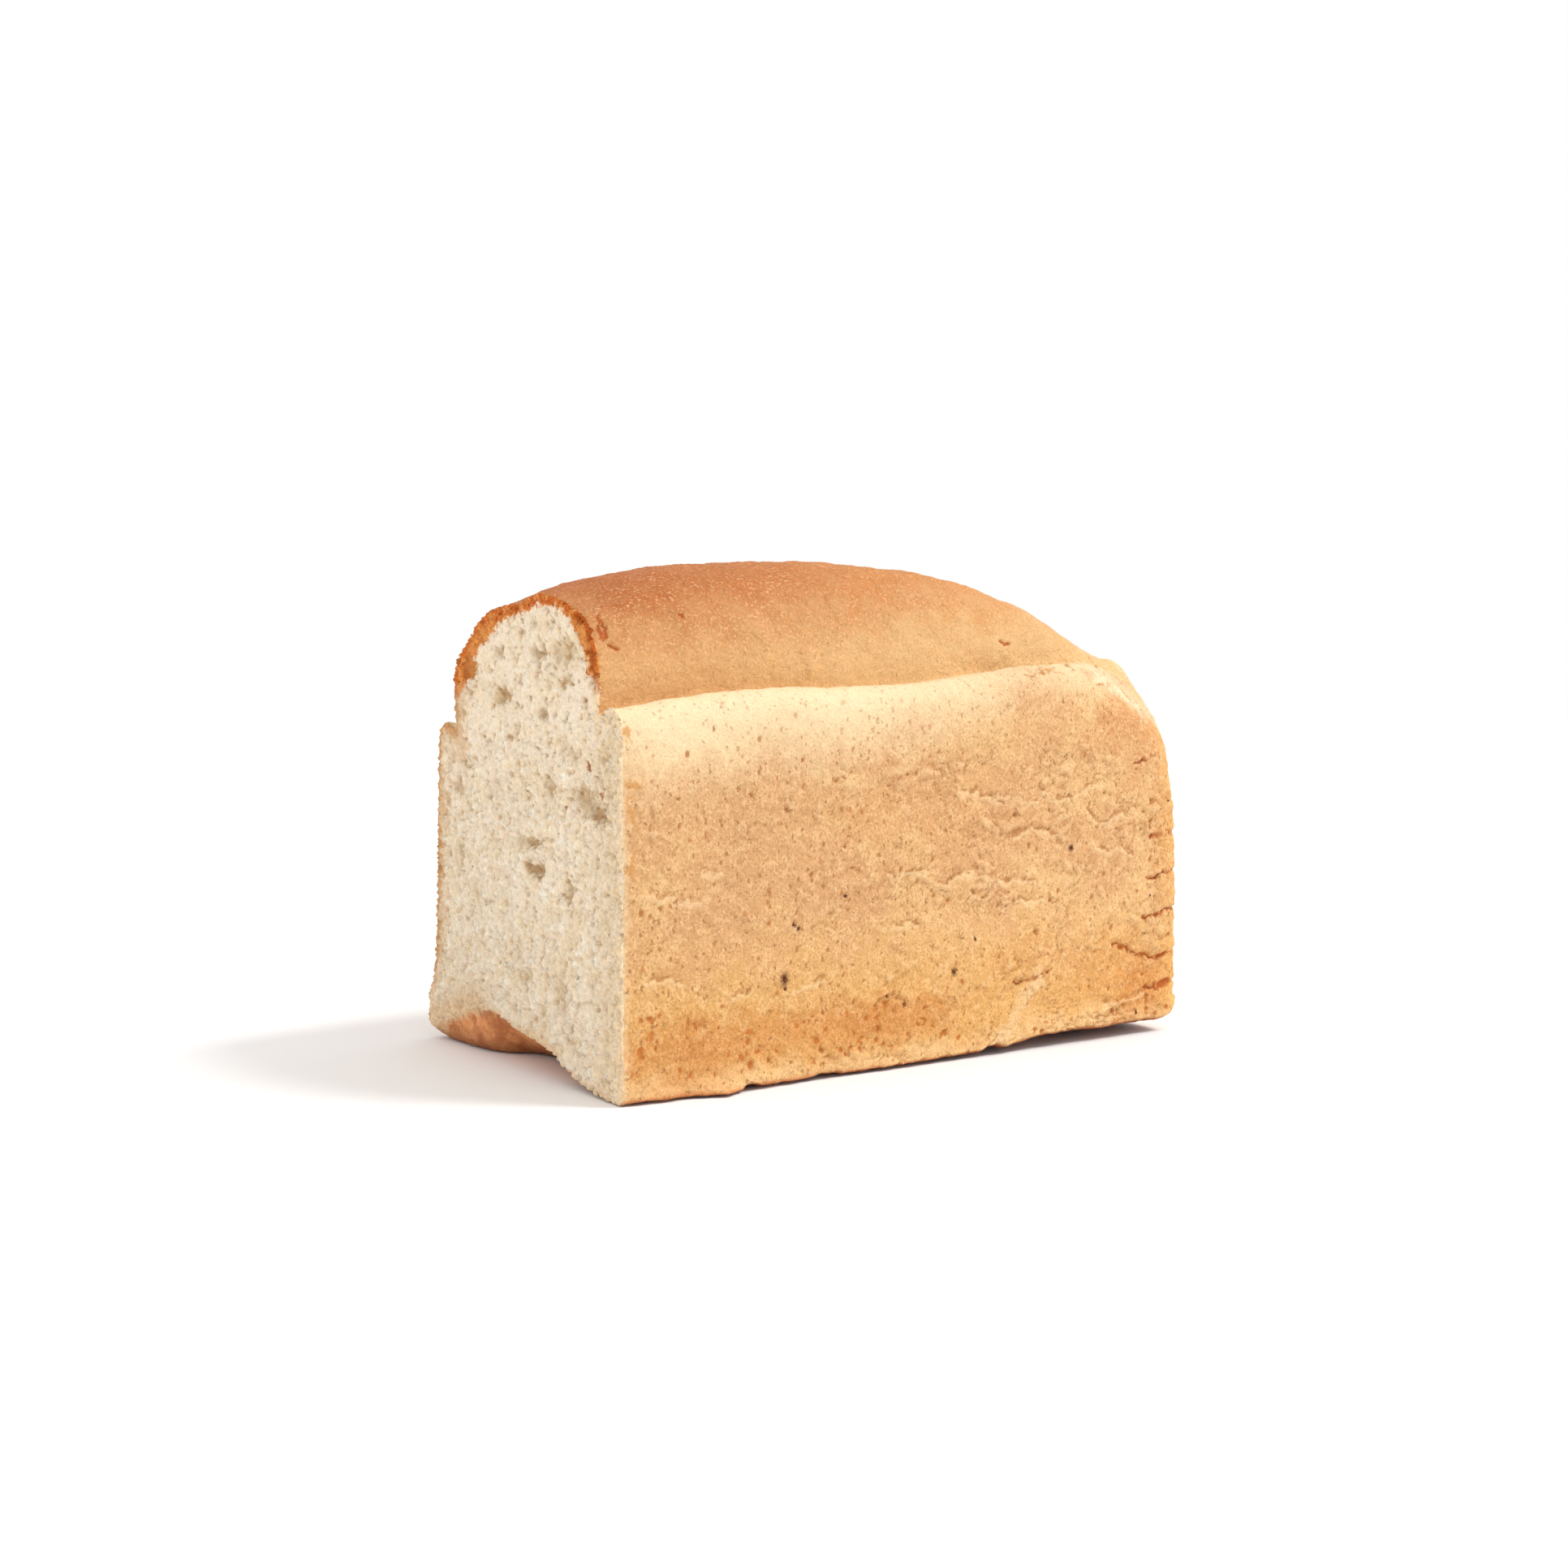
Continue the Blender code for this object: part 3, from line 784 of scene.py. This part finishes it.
def wallColour(place, noise, creamy):                   # tan, golden lower down, pale at the shoulder
    broad, patchy, blotch, speckle = noise
    x, y, z = place.split()
    golden = (z + patchy * 6 + broad * 8).ramp(46.0, 14.0)
    pinkish = patchy * 0.5 + broad + spot(x, z, *pinkPatch, 0.8) * 0.3
    wall = tinted(crustTones["tan"], crustTones["pink"], pinkish.ramp(-0.3, 0.4))
    wall = tinted(wall, crustTones["gold"], golden)
    footing = (z + patchy * 3 - x.ramp(10.0, 50.0) * 4).ramp(8.0, 3.0)
    wall = tinted(wall, crustTones["foot"], footing * 0.75)
    for centre, radii, share in embers:
        baked = spot(x + patchy * 9, z + patchy * 3 + blotch * 2, centre, radii, 0.6)
        wall = tinted(wall, crustTones["ember"], baked * y.ramp(-20.0, -40.0) * share)
    elsewhere = (z + patchy * 6 + broad * 7).ramp(22.0, 8.0) * y.ramp(-45.0, -30.0)
    wall = tinted(wall, crustTones["ember"], elsewhere * 0.4)
    cornered = (x + patchy * 3).ramp(82.0, 91.0) * (abs(y) + patchy * 6).ramp(22.0, 46.0, 0.35, 1.0)
    wall = tinted(wall, crustTones["edge"], cornered * 0.7)
    mealy = (blotch + speckle * 0.8).ramp(0.1, 0.6) * z.ramp(8.0, 30.0, 0.14, 0.28)
    wall = tinted(wall, crustTones["pale"], mealy)
    # painted light: the walls a little darker towards the cut and lighter towards the tin end
    wall = wall.times(x.ramp(-90.0, 90.0, 0.955, 1.045))
    wall = tinted(wall, crustTones["cream"], creamy)
    beyond = (x - facetEdge["at"][0]) * facetEdge["outward"][0]
    beyond = beyond + (z - facetEdge["at"][1]) * facetEdge["outward"][1]
    beyond = (beyond + patchy).ramp(-0.5, 1.5) * y.ramp(-38.0, -46.0) * x.ramp(94.0, 90.0, 0.3, 1.0)
    wall = tinted(wall, crustTones["facet"], beyond * 0.8)
    # the ridges painted paler, stronger higher up; on the ridge at the bevelled corner this is a painted
    # highlight
    ridged = markFrom(place.tree, "ridge") * z.ramp(10.0, 40.0, 0.3, 0.7)
    wall = tinted(wall, crustTones["ridge"], ridged)
    for centre, radii, _ in dents:
        dented = spot(x + blotch * 2, z + patchy * 2, centre, radii, 0.6) * y.ramp(-20.0, -35.0)
        wall = tinted(wall, crustTones["dent"], dented * 0.6)
    return wall


def domeColour(place, noise):                           # brown on top, paler lower down and to the tin end
    broad, patchy, blotch = noise[:3]
    x, z = place.split()[::2]
    high = (z + patchy * 5 + blotch * 2 + broad * 4 + x.ramp(-94.0, -40.0, 4.0, 0.0)).ramp(103.0, 133.0)
    right = (x + broad * 14).ramp(-92.0, 48.0)
    low = tinted(crustTones["domeLow"], crustTones["domeLowRight"], right)
    top = tinted(crustTones["domeTop"], crustTones["domeTopRight"], right)
    fleck = swell(place, 0.75, 49, 1.0).ramp(0.1, 0.5) * (blotch + patchy).ramp(-0.5, 0.5, 0.35, 0.8)
    return tinted(tinted(low, top, high), crustTones["fleck"], fleck * 0.45)


def baseColour(place, noise):                           # red-brown, paler in the hollow under the cut, with painted shade low down by the table
    patchy, blotch, speckle = noise[1:]
    x, z = place.split()[::2]
    grim = (patchy + speckle * 0.5 + blotch * 0.4).ramp(-0.5, 0.6)
    baked = tinted(crustTones["base"], crustTones["baseDark"], grim)
    nearCut = tinted(crustTones["underCut"], crustTones["underCutDark"], grim)
    # painted shade: the underside in the hollow darker towards the table
    nearCut = tinted(nearCut, crustTones["baseDark"], z.ramp(7.0, 1.0) * 0.6)
    baked = tinted(baked, nearCut, (x - cutX).ramp(24.0, 14.0))
    fromRim = markFrom(place.tree, "fromCut") + patchy * 1.5 + blotch
    return tinted(baked, crustTones["cream"], fromRim.ramp(3.4, 0.8) * 0.7)


def crustFinish(name, specked):
    material, tree, shader, place = newFinish(name)
    x, y, z = place.split()
    noise = crustNoise(place)
    patchy, blotch, speckle = noise[1:]
    dome = domeShare(place, 0.6)
    under = markFrom(tree, "under")
    onEnd = x.ramp(89.0, 93.0) * y.ramp(-52.0, -42.0)   # 1 on the tin end
    creamy = creamShare(place, noise, onEnd)
    crust = tinted(wallColour(place, noise, creamy), domeColour(place, noise), dome)
    # painted shadow: a red-brown line along the foot, where the loaf meets the table
    footLine = (z + blotch * 0.6 - x.ramp(30.0, 90.0) * 2).ramp(2.5, 0.5)
    crust = tinted(crust, crustTones["footLine"], footLine * 0.8)
    crust = tinted(crust, baseColour(place, noise), under)

    smooth = 1 - creamy * 0.65                          # speckled all over, and pricked with small pores
    shade = speckle * smooth * mixed(0.15, 0.36, dome) + patchy * 0.03 + blotch * 0.03 + 1
    crust = crust.times(shade.atLeast(0.0))
    dark = speckle.ramp(-0.05, -0.6) * 0.35
    crust = tinted(crust, crust.stretched(0.82, 0.70, 0.56), dark * smooth * mixed(1.0, 0.5, dome))
    pricked = smooth * (1 - dome * 0.7) * (1 - onEnd * 0.5)
    pin = bubbles(jitter(place, 1, 0.5, 46).stretched(1, 1, 0.6), 1.6, 0.1, 0.5, 46, 1.2)
    crust = tinted(crust, crustTones["pin"], pin.ramp(0.2, 0.8) * pricked * x.ramp(-50.0, 40.0, 1.0, 0.7))
    pitTone = tinted(crustTones["pit"], crustTones["lowPit"], z.ramp(30.0, 12.0))
    dot = bubbles(jitter(place, 2, 0.6, 57).stretched(1, 1, 0.75), 3.2, 0.1, 0.62, 57, 2.0)
    crust = tinted(crust, pitTone, dot.ramp(0.1, 0.7) * pricked * 0.75)
    pitShare = (0.85 - z.ramp(80.0, 98.0) * 0.6) * (1 - onEnd * 0.4)
    crust = tinted(crust, pitTone, markFrom(tree, "pit").ramp(0.1, 0.7) * pitShare)
    lowTone = lowPores(place).ramp(0.2, 0.75) * (x - cutX).ramp(1.0, 4.0)
    crust = tinted(crust, crustTones["lowPit"], lowTone * (1 - under) * 0.75)

    # painted highlight on the lips under the creases and on the folds, and painted shade in the creases and
    # dome folds
    crust = tinted(crust, crustTones["pale"], markFrom(tree, "lip").ramp(0.15, 1.0) * 0.55)
    crust = tinted(crust, crustTones["crease"], markFrom(tree, "crease").ramp(0.1, 0.9) * 0.7)
    crackTone = tinted(crustTones["crack"], crustTones["paleCrack"], z.ramp(90.0, 100.0) * (1 - dome))
    crust = tinted(crust, crackTone, markFrom(tree, "crack").ramp(0.1, 0.8) * 0.85)
    if specked:
        wx = x + swell(place, 0.6, 47, 1.0) * 0.6
        for centre, radii in chars:
            burnt = spot(wx, z, centre, radii, 0.75) * y.ramp(-40.0, -50.0)
            crust = tinted(crust, crustTones["char"], burnt * 0.96)
        for centre, radii in scuffs:
            rag = spot(x + blotch * 1.5, z + patchy * 2, centre, radii, 0.5)
            crust = tinted(crust, crustTones["scuff"], rag * y.ramp(-40, -50) * 0.8)
    height = swell(place, 0.7, 44, 3.0, 0.7) * crustLook["grain"] - pin * crustLook["pinDepth"]
    dress(tree, shader, crust, height, crustLook)
    return material


# depths and softScale in metres
crumbLook = {
    "roughness": 0.85, "gloss": 0.15, "grain": 0.00014, "poreDepth": 0.00022,
    "soft": 0.2, "softRadius": (1.0, 0.7, 0.45), "softScale": 0.0015,
}

# the crumb's shadow, hollow, pore and pinhole tones are painted shade in its dips, hollows and pores, its
# brightest tone a painted highlight on the raised crumb, and rimDark is partly painted shade in the rim's
# recesses
crumbTones = tones(
    crumb="f6e3c9", warm="efd8b0", bright="fbf2e0", hollow="b58a55", shadow="cfb38b",
    rim="f7dbb4", nearTan="e0c599", pinhole="c3a070", pore="a98152", farRim="d3a271", farMottle="e3c29a",
    footRim="f0d0aa", domeRim="d26c2a", rimDark="9c4a18", rimPale="e59c52",
    split="cc6622", pocket="da9250", sliver="a8602c",
)

# a browned pocket high in the crumb, as (y, z), (half width, half height)
brownPocket = ((28.6, 105.7), (5, 4))

# how thick the crust shows round the cut, in mm; the far side and the foot add to the wall's
rimThickness = {"wall": 1.1, "far": 0.4, "foot": 0.4, "domeSides": (5.4, 6.2), "domeTop": 2.2}


def crumbColour(place, noise):                          # cream, tanned near the wall, with painted shade in its dips, hollows and pores and a painted highlight on its raised crumb
    patchy, mottle, fine = noise
    x, y, z = place.split()
    hollow = markFrom(place.tree, "hollow")
    cavity = markFrom(place.tree, "cavity")
    warm = (patchy + mottle * 0.5).ramp(-0.1, 0.6)
    crumb = tinted(crumbTones["crumb"], crumbTones["warm"], warm * 0.5)
    # painted highlight on the raised crumb, and painted shade in its dips
    crumb = tinted(crumb, crumbTones["bright"], (cavity + fine * 0.2).ramp(-0.1, -0.7) * 0.85)
    crumb = tinted(crumb, crumbTones["shadow"], (cavity + fine * 0.3).ramp(0.2, 1.3) * 0.6)
    # painted shade in the crumb's hollows
    ragged = (hollow + mottle * 0.7 + fine * 0.4).ramp(0.7, 2.2)
    crumb = tinted(crumb, crumbTones["hollow"], ragged * 0.75)
    crumb = tinted(crumb, crumbTones["nearTan"], y.ramp(-38.0, -54.0) * (mottle + 0.8) * 0.6)
    pores, small = crumbPores(joined(x * 0 + cutX, y, z))    # as on the flat cut, before its relief
    # painted shade in the small and the large pores
    crumb = tinted(crumb, crumbTones["pinhole"], small.ramp(0.45, 0.95) * z.ramp(30.0, 95.0, 0.3, 0.52))
    return tinted(crumb, crumbTones["pore"], pores.ramp(0.5, 1.0) * z.ramp(30.0, 90.0, 0.15, 0.5))


def rimColour(tree, noise, high, far, foot):            # the crust's cut edge, orange-brown on the dome, with painted shade in its recesses there
    mottle, fine = noise[1:]
    depth = markFrom(tree, "rimDepth")
    rim = tinted(crumbTones["rim"], crumbTones["farRim"], far)
    rim = tinted(rim, crumbTones["footRim"], foot)
    domeRim = tinted(crumbTones["domeRim"], crumbTones["rimPale"], (mottle - fine * 0.7).ramp(0.1, -0.5))
    domeRim = tinted(domeRim, crumbTones["rimPale"], (depth + mottle).ramp(1.2, 3.4) * 0.7)
    rim = tinted(rim, domeRim, high)
    # darker in random patches, and painted shade where the rim is recessed
    dark = (mottle + fine * 0.8).ramp(0.15, 0.6) + markFrom(tree, "cavity").ramp(0.4, 1.1)
    return tinted(rim, crumbTones["rimDark"], dark.atMost(1.0) * high * 0.6)


def crumbFinish():
    material, tree, shader, place = newFinish("crumb")
    y, z = place.split()[1:]
    depth = markFrom(tree, "rimDepth")
    patchy = swell(place, 9, 51, 3.0, 0.6)
    mottle = swell(place, 2.2, 52, 3.0, 0.6)
    fine = swell(place, 0.8, 53, 2.0, 0.6)
    noise = (patchy, mottle, fine)
    high = z.ramp(95.0, 103.0)                          # 1 on the dome's stretch of the rim
    far = y.ramp(10.0, 30.0)
    foot = z.ramp(26.0, 10.0)
    farMix = (depth + mottle * 4 + patchy * 4).ramp(9.0, 1.0) * far * (1 - high)
    crumb = tinted(crumbColour(place, noise), crumbTones["farMottle"], farMix * 0.9)
    domeSides = y.ramp(-20.0, 10.0, *rimThickness["domeSides"])
    onDome = mixed(domeSides, rimThickness["domeTop"], y.ramp(16.0, 0.0) * y.ramp(-38.0, -28.0))
    onWall = far * rimThickness["far"] + foot * rimThickness["foot"] + rimThickness["wall"]
    thick = mixed(onWall, onDome, high) + mottle * 1.5 + patchy * 1.2 + fine * 0.5
    rimShare = (depth - thick).ramp(0.7 + far * 0.8, -0.7)
    colour = tinted(crumb, rimColour(tree, noise, high, far, foot), rimShare)
    pocket = spot(y + mottle, z, *brownPocket, 0.6) * markFrom(tree, "hollow").ramp(0.4, 1.8)
    colour = tinted(colour, crumbTones["pocket"], pocket * 0.8)
    colour = tinted(colour, crumbTones["split"], markFrom(tree, "split").ramp(0.3, 1.0) * 0.85)
    for (y0, z0), (y1, z1) in slivers:
        along = ((z - z0) / (z1 - z0)).atLeast(0.0).atMost(1.0)
        off = y + mottle * 0.5 - y0 - along * (y1 - y0)
        reach = spot(y, z, ((y0 + y1) / 2, (z0 + z1) / 2), (3, abs(z1 - z0) / 2), 0.2)
        line = abs(off).ramp(0.6, 0.15) * reach
        colour = tinted(colour, crumbTones["sliver"], line * 0.85)
    colour = colour.times(fine * 0.13 + mottle * 0.04 + 1)
    grain = swell(place, 0.9, 54, 3.0, 0.65) * crumbLook["grain"]
    height = grain - bubbles(place, 1.3, 0.05, 0.5, 55, 1.2) * crumbLook["poreDepth"]
    dress(tree, shader, colour, height, crumbLook)
    shader.inputs["Subsurface Weight"].default_value = crumbLook["soft"]
    shader.inputs["Subsurface Radius"].default_value = crumbLook["softRadius"]
    shader.inputs["Subsurface Scale"].default_value = crumbLook["softScale"]
    return material


# the loaf is parted along its creases, so that each piece keeps its fine faces: how far a mark has to
# go for a face to count as dome, base or crumb, and where the tin end's rounded edge starts, in mm
parting = {"dome": 0.5, "base": 0.4, "crumb": 0.45, "endFrom": 80}

def partLoaf(loaf):
    names = ("nearWall", "farWall", "tinEnd", "dome", "base")
    finishes = {name: crustFinish(name, name == "nearWall") for name in names}
    finishes["crumb"] = crumbFinish()
    for finish in finishes.values():
        loaf.data.materials.append(finish)
    relief = Relief("partPieces")
    x, y = relief.place.split()[:2]
    fx, fy = relief.facing.split()[:2]
    atEnd = (x - parting["endFrom"]).math("GREATER_THAN", 0.0) * (fx - abs(fy)).math("GREATER_THAN", 0.0)
    domed = domeShare(relief.place, 0.1).math("GREATER_THAN", parting["dome"])
    relief.paint(finishes["farWall"], y.math("GREATER_THAN", 0.0))
    relief.paint(finishes["tinEnd"], atEnd)
    relief.paint(finishes["dome"], domed)
    relief.paint(finishes["base"], relief.marked("under").math("GREATER_THAN", parting["base"]))
    relief.paint(finishes["crumb"], relief.marked("cutShare").math("GREATER_THAN", parting["crumb"]))
    relief.applyTo(loaf)
    pickOnly(loaf)
    bpy.ops.object.mode_set(mode="EDIT")
    bpy.ops.mesh.select_all(action="SELECT")
    bpy.ops.mesh.separate(type="MATERIAL")
    bpy.ops.object.mode_set(mode="OBJECT")
    pieces = [piece for piece in bpy.context.scene.objects if piece.name.startswith("loafBody")]
    for piece in pieces:
        name = piece.active_material.name
        piece.name = name
        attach(piece, "root")
        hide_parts("loaf")
        print(name, len(piece.data.polygons), "faces")


makeStudio()
loaf = makeBody()
waveCrust(loaf)
creaseCrust(loaf)
shapeCrumb(loaf)
partLoaf(loaf)
